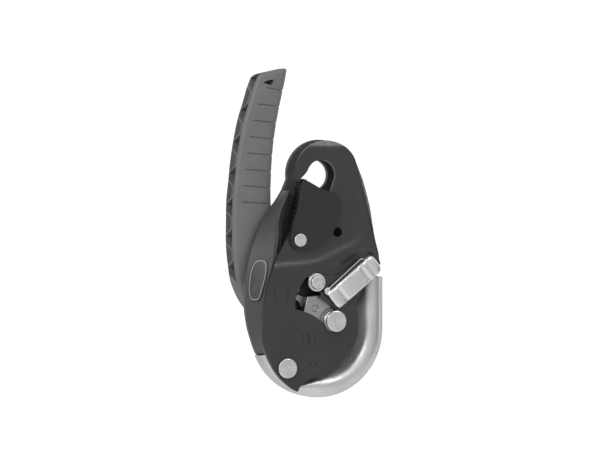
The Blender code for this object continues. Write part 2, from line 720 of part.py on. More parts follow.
def shape_plate(item):
    """Fold the flat plate: the joggle across it and the sloping flange on its right edge."""
    work = bmesh.new()
    work.from_mesh(item.data)
    tilt = math.radians(JOGGLE_ANGLE)
    across = (-math.sin(tilt), math.cos(tilt))
    fold_run = (FOLD_BOTTOM[0] - FOLD_TOP[0], FOLD_BOTTOM[1] - FOLD_TOP[1])
    fold_length = math.hypot(*fold_run)
    beyond = (-fold_run[1] / fold_length, fold_run[0] / fold_length)
    planes = [(JOGGLE_POINT, across), (tuple(JOGGLE_POINT[k] + across[k] * JOGGLE_RUN for k in (0, 1)), across),
              (FOLD_TOP, beyond)]
    for point, normal in planes:
        bmesh.ops.bisect_plane(
            work, geom=work.verts[:] + work.edges[:] + work.faces[:], dist=1e-7,
            plane_co=(point[0] * MM, 0.0, point[1] * MM), plane_no=(normal[0], 0.0, normal[1]))
    for vert in work.verts:
        x, z = vert.co.x / MM, vert.co.z / MM
        rise = (x - JOGGLE_POINT[0]) * across[0] + (z - JOGGLE_POINT[1]) * across[1]
        side = (x - FOLD_TOP[0]) * beyond[0] + (z - FOLD_TOP[1]) * beyond[1]
        vert.co.y += JOGGLE * MM * min(max(rise / JOGGLE_RUN, 0.0), 1.0)
        vert.co.y += FOLD_SLOPE * MM * max(side, 0.0) * min(max(rise / 20.0, 0.0), 1.0)
    work.to_mesh(item.data)
    work.free()


def brake_pocket():
    """The shallow pocket that the brake arm lies in."""
    return (arc(BRAKE_PIVOT, 6.4, 175, 120, 12) + smooth([(-1.4, -61.2), (4.5, -58.6), (13.0, -55.4),
                                                          (22.0, -49.6), (28.0, -47.6), (34.0, -49.6)], 3)
            + [(46.0, -55.0), (46.0, -62.0), (36.5, -64.5), (28.5, -72.0), (20.0, -79.0), (13.4, -83.2),
               (3.2, -79.2), (-1.4, -76.2)] + arc(BRAKE_PIVOT, 6.4, -75, -175, 12))


def make_moving_plate(coat, pivot):
    """The front plate, with its window, brake pocket and pivot holes."""
    holes = [window_outline(), circle(PLATE_PIVOT, PIVOT_RADIUS + BORE_PLAY), circle((11.2, -37.0), 3.2, 24),
             circle(GATE_PIVOT, GATE_PIN_RADIUS + BORE_PLAY, 24),
             circle(BRAKE_PIVOT, BRAKE_PIN_RADIUS + BORE_PLAY, 24)]
    plate = prism("moving_side_plate", [moving_outline()] + holes, PLATE_FRONT, PLATE_BACK)
    shape_plate(plate)
    cut(plate, prism("brake_pocket", [brake_pocket()], PLATE_FRONT - 4, PLATE_BACK - POCKET_FLOOR))
    finish(plate, coat, pivot)


def make_plate_rivets(coat, pivot):
    """The gate's pin and the brake's pin."""
    gate = rivet("gate_rivet", GATE_PIVOT, GATE_PIN_RADIUS, 4.2, GATE_FRONT - GAP - 1.6, 1.6,
                 UPPER_BACK + 3.6, 3.4, 0.8)
    finish(gate, coat, pivot)
    brake = rivet("brake_rivet", BRAKE_PIVOT, BRAKE_PIN_RADIUS, 4.6, PLATE_FRONT - GAP - 2.0, 2.0,
                  PLATE_BACK + 0.7, 3.6, 0.5)
    finish(brake, coat, pivot)
    steps, turns = 12, 2
    coil = [(*polar(GATE_PIVOT, 3.2, 360.0 * i / steps), UPPER_BACK + 0.9 + i * 0.8 / steps)
            for i in range(turns * steps + 1)]
    spring = tube("gate_spring", [(x, y, z) for x, z, y in coil], 0.35)
    finish(spring, coat, pivot)


# Gate -----------------------------------------------------------------------------------------------

GATE_BORE = 3.2
GATE_TRAVEL = 25.0


def gate_relief():
    """What comes off the gate's back, so that it clears the joggle when it's fully open."""
    reach, offset = 45.0, 8.0
    slope = JOGGLE_ANGLE + GATE_TRAVEL
    foot = polar(GATE_PIVOT, offset, slope - 90)
    corners = [polar(foot, reach, slope + 180), polar(foot, reach, slope)]
    return corners + [polar(corner, reach, slope - 90) for corner in corners[::-1]]


def make_gate(coat, coat_bush, pivot):
    """The gate: a face plate and the ribbed thumb wall on its left."""
    outline = smooth([(-13.4, -2.3), (-8.6, -4.6), (-1.6, -8.4), (3.3, -10.1), (7.4, -11.2), (11.0, -13.4),
                      (12.6, -17.5), (12.5, -24.0), (10.6, -30.5), (5.3, -40.3), (-0.2, -44.9),
                      (-6.5, -47.3), (-14.8, -48.8), (-20.2, -46.4), (-22.2, -41.0), (-20.4, -30.5),
                      (-17.6, -22.0), (-15.5, -9.8)])
    gate = prism("gate", [outline, circle(GATE_PIVOT, GATE_BORE + BORE_PLAY, 24)], GATE_FRONT,
                 GATE_FRONT + GATE_THICKNESS)
    edge = [(-13.4, -2.5), (-15.3, -9.8), (-17.4, -22.0), (-20.0, -30.0)]
    inner = [(x + 2.6, z - 0.4) for x, z in edge]
    wall = prism("gate_wall", [smooth(edge) + smooth(inner[::-1])], GATE_FRONT + 0.5, GATE_WALL_BACK)
    join(gate, wall)
    cut(gate, prism("gate_relief", [gate_relief()], PLATE_FRONT - GAP, UPPER_FRONT + GAP))
    finish(gate, coat, pivot)
    bush = turned("gate_bushing", GATE_PIVOT, ring(GATE_PIN_RADIUS + 0.2, GATE_BORE, GATE_FRONT,
                                                   GATE_THICKNESS), closed=True)
    finish(bush, coat_bush, pivot)


# Auxiliary brake ------------------------------------------------------------------------------------

BRAKE_AIM = 39.3
BRAKE_SHEET = 1.6
BRAKE_TOP = PLATE_FRONT - 3.4


def along_brake(u, v):
    """A front-view point from distances along and across the folded brake, from its pin."""
    turn = math.radians(BRAKE_AIM)
    return (BRAKE_PIVOT[0] + u * math.cos(turn) - v * math.sin(turn),
            BRAKE_PIVOT[1] + u * math.sin(turn) + v * math.cos(turn))


def make_brake(coat, pivot):
    """The folded steel guide over the rope's exit, on an arm that turns about its pin."""
    low, high = -23.0, -9.6
    profile = [(0.4, BRAKE_TOP + 1.4), (7.6, BRAKE_TOP), (28.8, BRAKE_TOP), (31.0, BRAKE_TOP + 0.7),
               (33.6, BRAKE_TOP + 0.7), (36.0, BRAKE_TOP + 0.8), (39.2, BRAKE_TOP + 1.3), (40.6, BRAKE_TOP + 1.8)]
    section = thickened(profile, BRAKE_SHEET)
    rings = []
    for v in (low, low + 1.0, high):
        trim = 1.0 if v == low else 0.0
        ring_points = []
        for u, depth in section:
            x, z = along_brake(u + (trim if u < 20 else -trim), v)
            ring_points.append((x, depth, z))
        rings.append(ring_points)
    sheet = loft("auxiliary_brake", rings)
    arm_front = PLATE_FRONT + 0.1
    arm_back = arm_front + ARM_THICKNESS
    web_line = [along_brake(u, v) for u, v in ((9.0, -9.8), (32.0, -9.8), (32.0, -11.6), (9.0, -11.6))]
    join(sheet, prism("brake_web", [web_line], BRAKE_TOP + 0.9, arm_back - 0.2))
    arm = (arc(BRAKE_PIVOT, 5.2, 80, 290, 15) + [along_brake(4.0, -12.2), along_brake(31.0, -12.4),
                                                 along_brake(31.0, -9.0), along_brake(12.0, -6.0)])
    join(sheet, prism("brake_arm", [arm, circle(BRAKE_PIVOT, BRAKE_PIN_RADIUS + BORE_PLAY, 24)],
                      arm_front, arm_back))
    finish(sheet, coat, pivot)


def main():
    """Build every piece."""
    global parts, cutters
    clear_scene()
    parts = new_collection("belay_device")
    cutters = new_collection("cutters")
    dark = material("anodised_plate", (0.050, 0.050, 0.052), 0.6, 0.42)
    body = material("body_plate", (0.075, 0.077, 0.080), 0.5, 0.45)
    steel = material("brushed_steel", (0.62, 0.62, 0.61), 1.0, 0.30)
    pin_steel = material("pin_steel", (0.66, 0.66, 0.65), 1.0, 0.28)
    grey = material("handle_plastic", (0.150, 0.158, 0.155), 0.0, 0.55)
    black = material("gate_plastic", (0.030, 0.030, 0.032), 0.0, 0.5)
    label = material("label", (0.11, 0.11, 0.115), 0.0, 0.5)

    axle = pivot_empty("axle_axis", AXLE)
    plate_axis = pivot_empty("plate_axis", PLATE_PIVOT)
    gate_axis = pivot_empty("gate_axis", GATE_PIVOT)
    brake_axis = pivot_empty("brake_axis", BRAKE_PIVOT)
    catch_axis = pivot_empty("catch_axis", CATCH_PIVOT)

    make_fixed_plate(body)
    make_wear_plate(steel)
    make_pad(steel)
    make_small_rivets(pin_steel)
    make_axle(pin_steel)
    make_plate_pivot(pin_steel)
    make_badge(label)
    make_cam(steel, pin_steel, axle, catch_axis)
    button_place = make_handle(grey, pin_steel, black, axle)
    make_button(black, pin_steel, button_place, axle)
    make_moving_plate(dark, plate_axis)
    make_plate_rivets(pin_steel, plate_axis)
    make_gate(black, pin_steel, gate_axis)
    make_brake(steel, brake_axis)


main()
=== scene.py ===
"""Studio picture of the belay device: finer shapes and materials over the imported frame."""
import json
import math

import bmesh
import bpy
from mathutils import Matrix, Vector


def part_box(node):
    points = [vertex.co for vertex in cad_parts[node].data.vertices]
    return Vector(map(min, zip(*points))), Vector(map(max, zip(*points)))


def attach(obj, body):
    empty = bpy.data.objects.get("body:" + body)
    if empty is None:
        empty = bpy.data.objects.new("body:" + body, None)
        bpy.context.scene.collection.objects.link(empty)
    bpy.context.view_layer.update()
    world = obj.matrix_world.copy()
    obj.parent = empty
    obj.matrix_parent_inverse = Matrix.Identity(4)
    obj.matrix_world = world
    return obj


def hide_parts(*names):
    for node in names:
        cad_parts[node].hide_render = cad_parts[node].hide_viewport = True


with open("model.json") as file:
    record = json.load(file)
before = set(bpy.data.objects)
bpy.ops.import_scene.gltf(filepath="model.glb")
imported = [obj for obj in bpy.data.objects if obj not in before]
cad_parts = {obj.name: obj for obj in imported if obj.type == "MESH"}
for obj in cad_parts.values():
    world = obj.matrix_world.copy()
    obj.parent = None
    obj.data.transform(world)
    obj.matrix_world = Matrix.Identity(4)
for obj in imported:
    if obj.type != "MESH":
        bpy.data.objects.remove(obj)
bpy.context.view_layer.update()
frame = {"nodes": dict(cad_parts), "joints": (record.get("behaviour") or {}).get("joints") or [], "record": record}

MM = 0.001
NODES = frame["nodes"]
BODY_OF = {node: body for body, nodes in frame["record"]["behaviour"]["bodies"].items() for node in nodes}
PIVOTS = {joint["name"]: Vector(joint["pos_m"]) / MM for joint in frame["joints"] if "pos_m" in joint}
AXLE = PIVOTS["handle_hinge"]
BRAKE_PIVOT = PIVOTS["brake_hinge"]


def low(node):
    """A node's lowest corner in millimetres."""
    return Vector(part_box(node)[0]) / MM


def high(node):
    """A node's highest corner in millimetres."""
    return Vector(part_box(node)[1]) / MM


# Materials ------------------------------------------------------------------------------------

def principled(name, color, metallic, roughness):
    """A new material with its Principled shader."""
    made = bpy.data.materials.new(name)
    made.use_nodes = True
    shader = made.node_tree.nodes["Principled BSDF"]
    shader.inputs["Base Color"].default_value = (*color, 1.0)
    shader.inputs["Metallic"].default_value = metallic
    shader.inputs["Roughness"].default_value = roughness
    return made


def noise(made, scale, detail=4.0, stretch=(1.0, 1.0, 1.0), turn=(0.0, 0.0, 0.0)):
    """Noise in the object's own space, in features per metre, stretched along its axes."""
    nodes, links = made.node_tree.nodes, made.node_tree.links
    place = nodes.new("ShaderNodeTexCoord")
    mapping = nodes.new("ShaderNodeMapping")
    mapping.inputs["Rotation"].default_value = turn
    mapping.inputs["Scale"].default_value = stretch
    texture = nodes.new("ShaderNodeTexNoise")
    texture.inputs["Scale"].default_value = scale
    texture.inputs["Detail"].default_value = detail
    links.new(place.outputs["Object"], mapping.inputs["Vector"])
    links.new(mapping.outputs["Vector"], texture.inputs["Vector"])
    return texture.outputs["Fac"]


def spread(made, value, lowest, highest):
    """Map a 0 to 1 value to a range."""
    node = made.node_tree.nodes.new("ShaderNodeMapRange")
    node.inputs["From Min"].default_value = 0.3
    node.inputs["From Max"].default_value = 0.7
    node.inputs["To Min"].default_value = lowest
    node.inputs["To Max"].default_value = highest
    made.node_tree.links.new(value, node.inputs["Value"])
    return node.outputs["Result"]


def vary_color(made, value, dark, light):
    """Drive the colour between two tones."""
    ramp = made.node_tree.nodes.new("ShaderNodeValToRGB")
    ramp.color_ramp.elements[0].position = 0.3
    ramp.color_ramp.elements[0].color = (*dark, 1.0)
    ramp.color_ramp.elements[1].position = 0.7
    ramp.color_ramp.elements[1].color = (*light, 1.0)
    shader = made.node_tree.nodes["Principled BSDF"]
    made.node_tree.links.new(value, ramp.inputs["Fac"])
    made.node_tree.links.new(ramp.outputs["Color"], shader.inputs["Base Color"])


def vary_roughness(made, value, lowest, highest):
    """Drive the roughness between two values."""
    shader = made.node_tree.nodes["Principled BSDF"]
    made.node_tree.links.new(spread(made, value, lowest, highest), shader.inputs["Roughness"])


def add_bump(made, value, strength, depth):
    """Add relief, on top of any the material already has."""
    nodes, links = made.node_tree.nodes, made.node_tree.links
    shader = nodes["Principled BSDF"]
    bump = nodes.new("ShaderNodeBump")
    bump.inputs["Strength"].default_value = strength
    bump.inputs["Distance"].default_value = depth * MM
    links.new(value, bump.inputs["Height"])
    if shader.inputs["Normal"].links:
        links.new(shader.inputs["Normal"].links[0].from_socket, bump.inputs["Normal"])
    links.new(bump.outputs["Normal"], shader.inputs["Normal"])


def scaled(color, factor):
    """A lighter or darker tone of a colour."""
    return tuple(min(channel * factor, 1.0) for channel in color)


def anodised(name, tone, roughness):
    """Bead-blasted and anodised aluminium: fine grain with slow changes of gloss."""
    color = (tone, tone, tone * 1.02)
    made = principled(name, color, 0.0, roughness)
    made.node_tree.nodes["Principled BSDF"].inputs["IOR"].default_value = 1.55
    broad = noise(made, 35.0, 3.0)
    vary_color(made, broad, scaled(color, 0.85), scaled(color, 1.15))
    vary_roughness(made, noise(made, 420.0, 5.0), roughness - 0.05, roughness + 0.08)
    add_bump(made, noise(made, 2600.0, 2.0), 0.10, 0.03)
    return made


def brushed(name, tone, roughness, stretch, turn=(0.0, 0.0, 0.0)):
    """Satin stainless steel with fine lines along one direction."""
    color = (tone, tone, tone * 0.995)
    made = principled(name, color, 1.0, roughness)
    lines = noise(made, 900.0, 4.0, stretch, turn)
    vary_color(made, noise(made, 60.0, 3.0), scaled(color, 0.93), scaled(color, 1.04))
    vary_roughness(made, lines, roughness - 0.07, roughness + 0.1)
    add_bump(made, lines, 0.10, 0.02)
    return made


def lathed(name, tone, roughness):
    """Steel with the fine rings of a turned face, about the object's own y axis."""
    color = (tone, tone, tone * 0.995)
    made = principled(name, color, 1.0, roughness)
    nodes, links = made.node_tree.nodes, made.node_tree.links
    shader = nodes["Principled BSDF"]
    shader.inputs["Anisotropic"].default_value = 0.55
    tangent = nodes.new("ShaderNodeTangent")
    tangent.direction_type = "RADIAL"
    tangent.axis = "Y"
    links.new(tangent.outputs["Tangent"], shader.inputs["Tangent"])
    place = nodes.new("ShaderNodeTexCoord")
    rings = nodes.new("ShaderNodeTexWave")
    rings.wave_type = "RINGS"
    rings.rings_direction = "Y"
    rings.inputs["Scale"].default_value = 520.0
    rings.inputs["Distortion"].default_value = 0.3
    links.new(place.outputs["Object"], rings.inputs["Vector"])
    vary_roughness(made, rings.outputs["Fac"], roughness - 0.05, roughness + 0.07)
    vary_color(made, noise(made, 180.0, 3.0), scaled(color, 0.9), scaled(color, 1.06))
    add_bump(made, rings.outputs["Fac"], 0.10, 0.02)
    return made


def moulded(name, color, roughness, grain, depth):
    """Moulded nylon: spark-eroded grain, and faint flow marks."""
    made = principled(name, color, 0.0, roughness)
    vary_color(made, noise(made, 70.0, 4.0), scaled(color, 0.93), scaled(color, 1.07))
    vary_roughness(made, noise(made, 500.0, 4.0), roughness - 0.05, roughness + 0.08)
    add_bump(made, noise(made, grain, 3.0), 0.25, depth)
    add_bump(made, noise(made, 150.0, 2.0), 0.05, 0.2)
    return made


# Shapes ---------------------------------------------------------------------------------------

def polar(centre, radius, angle):
    """The front-view point at a radius and an angle in degrees from a centre (x, z)."""
    turn = math.radians(angle)
    return (centre[0] + radius * math.cos(turn), centre[1] + radius * math.sin(turn))


def flat(point):
    """The front-view (x, z) of a point."""
    return (point[0], point[2])


def smooth(points, spans=6):
    """A Catmull-Rom curve through the points, both ends included."""
    padded = [points[0]] + list(points) + [points[-1]]
    curve = []
    for before, a, b, after in zip(padded, padded[1:], padded[2:], padded[3:]):
        for i in range(spans):
            t = i / spans
            curve.append(tuple(
                0.5 * (2 * a[k] + (b[k] - before[k]) * t
                       + (2 * before[k] - 5 * a[k] + 4 * b[k] - after[k]) * t * t
                       + (3 * a[k] - before[k] - 3 * b[k] + after[k]) * t ** 3)
                for k in range(len(a))))
    return curve + [tuple(points[-1])]


def soft_step(value):
    """A smooth step from 0 to 1."""
    t = min(max(value, 0.0), 1.0)
    return t * t * (3 - 2 * t)


def to_object(work, name, origin=(0.0, 0.0, 0.0)):
    """Make an object from a bmesh in metres, with its own origin in millimetres."""
    bmesh.ops.recalc_face_normals(work, faces=work.faces)
    shift = Vector(origin) * MM
    bmesh.ops.translate(work, verts=work.verts, vec=-shift)
    mesh = bpy.data.meshes.new(name)
    work.to_mesh(mesh)
    work.free()
    item = bpy.data.objects.new(name, mesh)
    item.location = shift
    bpy.context.scene.collection.objects.link(item)
    return item


def loft(name, rings):
    """A closed skin over rings of (x, y, z) points in millimetres."""
    work = bmesh.new()
    rows = [[work.verts.new([value * MM for value in point]) for point in ring] for ring in rings]
    count = len(rows[0])
    for one, two in zip(rows, rows[1:]):
        for i in range(count):
            j = (i + 1) % count
            work.faces.new((one[i], one[j], two[j], two[i]))
    work.faces.new(rows[0])
    work.faces.new(rows[-1])
    return to_object(work, name)


def prism(name, outline, front, back):
    """A closed front-view outline carried between two depths."""
    return loft(name, [[(x, depth, z) for x, z in outline] for depth in (front, back)])


def turned(name, centre, profile, sides=64):
    """A solid of revolution about a y axis through centre, from (radius, depth) pairs."""
    work = bmesh.new()
    rows = []
    for radius, depth in profile:
        if radius < 1e-6:
            rows.append([work.verts.new((centre[0] * MM, depth * MM, centre[1] * MM))])
            continue
        ring = [polar(centre, radius, 360.0 * i / sides) for i in range(sides)]
        rows.append([work.verts.new((x * MM, depth * MM, z * MM)) for x, z in ring])
    for one, two in zip(rows, rows[1:]):
        for i in range(sides):
            j = (i + 1) % sides
            corners = [one[i % len(one)], one[j % len(one)], two[j % len(two)], two[i % len(two)]]
            work.faces.new(list(dict.fromkeys(corners)))
    return to_object(work, name, (centre[0], profile[0][1], centre[1]))


def looped(name, rings):
    """A closed skin over rings of (x, y, z) points in millimetres, the last joined to the first."""
    work = bmesh.new()
    rows = [[work.verts.new([value * MM for value in point]) for point in ring] for ring in rings]
    count = len(rows[0])
    for one, two in zip(rows, rows[1:] + rows[:1]):
        for i in range(count):
            j = (i + 1) % count
            work.faces.new((one[i], one[j], two[j], two[i]))
    return to_object(work, name)


def ring_solid(name, centre, profile, sides=72):
    """A solid ring about a y axis from a closed (radius, depth) profile."""
    rings = []
    for radius, depth in profile:
        circle = [polar(centre, radius, 360.0 * i / sides) for i in range(sides)]
        rings.append([(x, depth, z) for x, z in circle])
    return looped(name, rings)


def disc(name, centre, radius, front, back, sides=72):
    """A plain round cutter about a y axis."""
    return prism(name, [polar(centre, radius, 360.0 * i / sides) for i in range(sides)], front, back)


def round_edges(item, width, segments=3, angle=40.0):
    """Round the sharp edges of a piece."""
    edge = item.modifiers.new("Edge", "BEVEL")
    edge.width = width * MM
    edge.segments = segments
    edge.limit_method = "ANGLE"
    edge.angle_limit = math.radians(angle)
    settle(item)
    even_shading(item)


def even_shading(item):
    """Smooth shading in which the large faces stay flat."""
    item.data.shade_smooth()
    even = item.modifiers.new("Even", "WEIGHTED_NORMAL")
    even.mode = "FACE_AREA"
    even.keep_sharp = True
    item.data.set_sharp_from_angle(angle=math.radians(60))


def crisp(item, angle):
    """Smooth shading that breaks at edges sharper than an angle in degrees."""
    item.data.shade_smooth()
    item.data.set_sharp_from_angle(angle=math.radians(angle))


def combine(item, tool, operation):
    """Cut or join a tool, and remove the tool."""
    change = item.modifiers.new("Combine", "BOOLEAN")
    change.operation = operation
    change.solver = "EXACT"
    change.object = tool
    settle(item)
    bpy.data.objects.remove(tool, do_unlink=True)


def cut(item, tool):
    """Cut a tool away from a piece."""
    combine(item, tool, "DIFFERENCE")


def join(item, tool):
    """Join a tool to a piece."""
    combine(item, tool, "UNION")


def settle(item):
    """Apply a piece's modifiers to its mesh."""
    bpy.context.view_layer.update()
    graph = bpy.context.evaluated_depsgraph_get()
    mesh = bpy.data.meshes.new_from_object(item.evaluated_get(graph))
    item.modifiers.clear()
    item.data = mesh


def merged(name, items):
    """Join tools that don't touch into one mesh."""
    work = bmesh.new()
    for item in items:
        work.from_mesh(item.data)
        bpy.data.objects.remove(item, do_unlink=True)
    return to_object(work, name)


def show(item, coat, body, replaced=()):
    """Give a piece its material, its body and the CAD nodes that it stands for."""
    item.data.materials.clear()
    item.data.materials.append(coat)
    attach(item, body)
    if replaced:
        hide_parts(*replaced)
    return item


def welded(node):
    """A copy of a CAD node's mesh with its doubled corners joined."""
    work = bmesh.new()
    work.from_mesh(NODES[node].data)
    bmesh.ops.remove_doubles(work, verts=work.verts, dist=1e-6)
    return work


def merge_flats(work):
    """Join a mesh's triangles into its flat faces."""
    bmesh.ops.dissolve_limit(work, angle_limit=math.radians(0.7), verts=work.verts, edges=work.edges)
    return work


def refined(node, coat, width):
    """A CAD node's own shape with its flats merged and its edges rounded."""
    item = to_object(merge_flats(welded(node)), f"{node}_shape")
    round_edges(item, width)
    show(item, coat, BODY_OF[node], [node])


# Pieces: places and sizes are in millimetres in the frame's axes, as the CAD has them -----------

FLANK = [
    # height, front edge, back edge of the sloping wall
    (-10.0, -23.2, -21.4), (-16.0, -25.8, -25.2), (-22.8, -28.9, -30.4), (-30.5, -30.7, -35.4),
    (-38.4, -30.4, -39.3), (-47.5, -31.9, -42.9), (-56.0, -32.4, -45.3), (-66.0, -34.9, -46.9),
    (-74.0, -37.2, -47.3), (-86.5, -38.9, -47.1), (-97.8, -40.4, -45.4), (-105.0, -40.2, -43.4),
    (-111.0, -39.0, -41.4), (-115.5, -37.4, -39.6)]
RAILS = [
    # x and z of the left edge, then of the right edge, of the lever from its tip to the hub
    (-34.5, 65.5, -14.2, 70.0), (-38.0, 57.0, -15.9, 61.0), (-40.5, 48.8, -18.2, 51.0),
    (-44.6, 35.8, -21.2, 37.0), (-47.4, 22.8, -23.4, 23.5), (-49.5, 9.8, -24.8, 10.0),
    (-50.9, -3.3, -25.5, -3.5), (-52.3, -16.3, -25.6, -17.0), (-52.6, -31.0, -24.2, -31.0),
    (-52.6, -45.5, -21.0, -46.0), (-51.4, -58.0, -14.0, -61.0), (-48.8, -71.5, -3.0, -73.5),
    (-40.5, -86.5, 9.0, -77.0), (-24.0, -100.5, 12.0, -86.0), (-6.0, -111.0, 13.0, -95.0)]
HANDLE_FRONT = 13.9
HANDLE_BACK = 29.9
HUB_BACK = 27.3
HUB_RADIUS = 21.0
WALL_FRONT = -4.6
FIXED_FRONT = 6.1
RIB_PITCH = 10.25
RIB_HALF = 0.55
POCKET_TOP = 60.7
POCKET_LONG = 7.6
GROOVE_TOP = 56.6
GROOVE_PITCH = 10.6
GROOVE_COUNT = 8
CAP_RADIUS = 13.0
CAP_DEPTH = 5.4
BORE_RADIUS = 9.2
SPRING_DEPTH = 6.4
WELL_RADIUS = 5.4
WELL_DEPTH = 6.0
TIP_WEB = 1.2
TIP_HOLE = [(-32.1, 60.1), (-28.6, 61.6), (-25.2, 62.2), (-24.7, 61.6), (-25.8, 58.9), (-26.8, 58.3)]


def rail_at(height, side):
    """The x of the lever's left (0) or right (2) edge at a height."""
    for upper, lower in zip(RAILS, RAILS[1:]):
        if lower[side + 1] <= height <= upper[side + 1]:
            t = (height - lower[side + 1]) / (upper[side + 1] - lower[side + 1])
            return lower[side] + (upper[side] - lower[side]) * t
    return RAILS[0][side]


def corner(centre, radius, start):
    """Five points round a quarter turn, in the section's (s, y) plane."""
    return [polar(centre, radius, start - 22.5 * i) for i in range(5)]


def lever_ring(row, inset):
    """One rounded cross-section of the lever, drawn in by an inset."""
    left, right = Vector(row[:2]), Vector(row[2:])
    width = (right - left).length
    near, far = HANDLE_FRONT + inset, HANDLE_BACK - inset
    start, end = inset, width - inset
    soft, crisp = 4.4 - inset * 0.8, 2.4 - inset * 0.8
    section = corner((start + 1.2, far - 1.2), 1.2, 180)
    section += corner((end - soft, far - soft), soft, 90)
    section += corner((end - soft, near + soft), soft, 0)
    section += corner((start + crisp, near + crisp), crisp, -90)
    along = (right - left) / width
    return [(left.x + along.x * s, y, left.y + along.y * s) for s, y in section]


def tip_rings(rows):
    """The rounded end of the lever: rings drawn in on a quarter circle."""
    radius = 2.4
    run = (Vector(rows[1][:2]) - Vector(rows[0][:2])).length
    rings = []
    for angle in (0.0, 20.0, 45.0, 70.0):
        share = radius * (1 - math.cos(math.radians(angle))) / run
        row = [a + (b - a) * share for a, b in zip(rows[0], rows[1])]
        rings.append(lever_ring(row, radius * (1 - math.sin(math.radians(angle)))))
    return rings


def pocket_tools():
    """The pockets between the ribs of the lever's open left side."""
    near, far = HANDLE_FRONT + 2.9, HANDLE_BACK - 1.5
    tools = []
    for i in range(13):
        middle = POCKET_TOP - i * RIB_PITCH
        front, back = POCKET_LONG - RIB_HALF, RIB_PITCH - POCKET_LONG - RIB_HALF
        reach = 7.5
        if i % 2:
            front, back, reach = back, front, 2.6
        outer, inner = [], []
        for depth, z in ((near, middle + front), (far, middle + back), (far, middle - back),
                         (near, middle - front)):
            edge = rail_at(z, 0)
            outer.append((edge - 3.0, depth, z))
            inner.append((edge + reach, depth, z))
        tools.append(loft(f"pocket_{i}", [outer, inner]))
    return merged("pockets", tools)


def groove_tools():
    """The cross grooves on the lever's front and the notches round its right side."""
    tools = []
    half, depth = 0.62, 0.6
    for i in range(GROOVE_COUNT):
        z = GROOVE_TOP - i * GROOVE_PITCH
        start, end = rail_at(z, 0) + (8.5 if i == 0 else 5.6), rail_at(z - 1, 2) - 3.6
        rings = []
        for x, drop in ((start, 0.0), (end, 1.3)):
            rings.append([(x, HANDLE_FRONT - 1, z - drop + half * 2.2), (x, HANDLE_FRONT + depth, z - drop),
                          (x, HANDLE_FRONT - 1, z - drop - half * 2.2)])
        tools.append(loft(f"groove_{i}", rings))
        if i < GROOVE_COUNT - 1:
            notch_z = z - 1.7
            edge = rail_at(notch_z, 2)
            rings = [[(edge + 2.0, y, notch_z + 1.8), (edge - reach, y, notch_z + 0.35),
                      (edge - reach, y, notch_z - 0.35), (edge + 2.0, y, notch_z - 1.2)]
                     for y, reach in ((HANDLE_FRONT + 0.2, 1.0), (HANDLE_FRONT + 3.0, 1.4),
                                      (HANDLE_BACK + 1, 1.4))]
            tools.append(loft(f"notch_{i}", rings))
    return merged("grooves", tools)


def make_handle(coat):
    """The lever and its hub."""
    rows = smooth(RAILS, 7)
    rings = tip_rings(rows) + [lever_ring(row, 0.0) for row in rows[2:]]
    handle = loft("handle_shape", rings)
    axle = flat(AXLE)
    cut(handle, disc("clearance", axle, HUB_RADIUS + 3.0, HUB_BACK, HANDLE_BACK + 1))
    cut(handle, disc("opening", axle, HUB_RADIUS - 1.5, HANDLE_FRONT - 1, HUB_BACK + 1))
    front, back = HANDLE_FRONT - 0.1, HUB_BACK + 0.1
    hub = ring_solid("hub", axle, [
        (HUB_RADIUS, front), (HUB_RADIUS, back - 0.8), (HUB_RADIUS - 0.8, back), (CAP_RADIUS, back),
        (CAP_RADIUS, back - CAP_DEPTH), (BORE_RADIUS, back - CAP_DEPTH), (BORE_RADIUS, front),
        (11.4, front), (11.4, front + SPRING_DEPTH), (17.4, front + SPRING_DEPTH), (17.4, front)])
    join(handle, hub)
    cut(handle, prism("tip", TIP_HOLE, HANDLE_FRONT - 1, HANDLE_BACK - TIP_WEB))
    cut(handle, pocket_tools())
    cut(handle, groove_tools())
    button = (low("travel_button") + high("travel_button")) / 2
    cut(handle, disc("button_well", flat(button), WELL_RADIUS, HANDLE_BACK - WELL_DEPTH, HANDLE_BACK + 1, 48))
    crisp(handle, 38)
    return show(handle, coat, "handle", ["handle"])


HEADS = [
    # piece, CAD node, depth of its head, rounding of its edge, share of the node's radius
    ("gate_pin", "gate_rivet", 1.6, 0.45, 1.0),
    ("brake_pin", "brake_rivet", 2.0, 0.5, 0.9),
    ("plate_pin", "plate_pivot_rivet", 2.1, 0.5, 1.0)]


def make_heads(coat):
    """The pins of the gate, the brake and the side plate."""
    for name, node, head, soft, share in HEADS:
        lowest, highest = low(node), high(node)
        centre = ((lowest.x + highest.x) / 2, (lowest.z + highest.z) / 2)
        radius = (highest.x - lowest.x) / 2 * share
        front, back = lowest.y, highest.y
        shank = radius * 0.5
        tail = radius * 0.78
        profile = [(0.0, front + 0.14), (radius * 0.22, front + 0.12), (radius * 0.27, front),
                   (radius - soft, front), (radius - soft * 0.3, front + soft * 0.3), (radius, front + soft),
                   (radius, front + head), (shank, front + head), (shank, back - 0.6), (tail, back - 0.6),
                   (tail, back - 0.3), (tail - 0.3, back), (0.0, back)]
        item = turned(name, centre, profile)
        round_edges(item, 0.1, 2)
        show(item, coat, BODY_OF[node], [node])


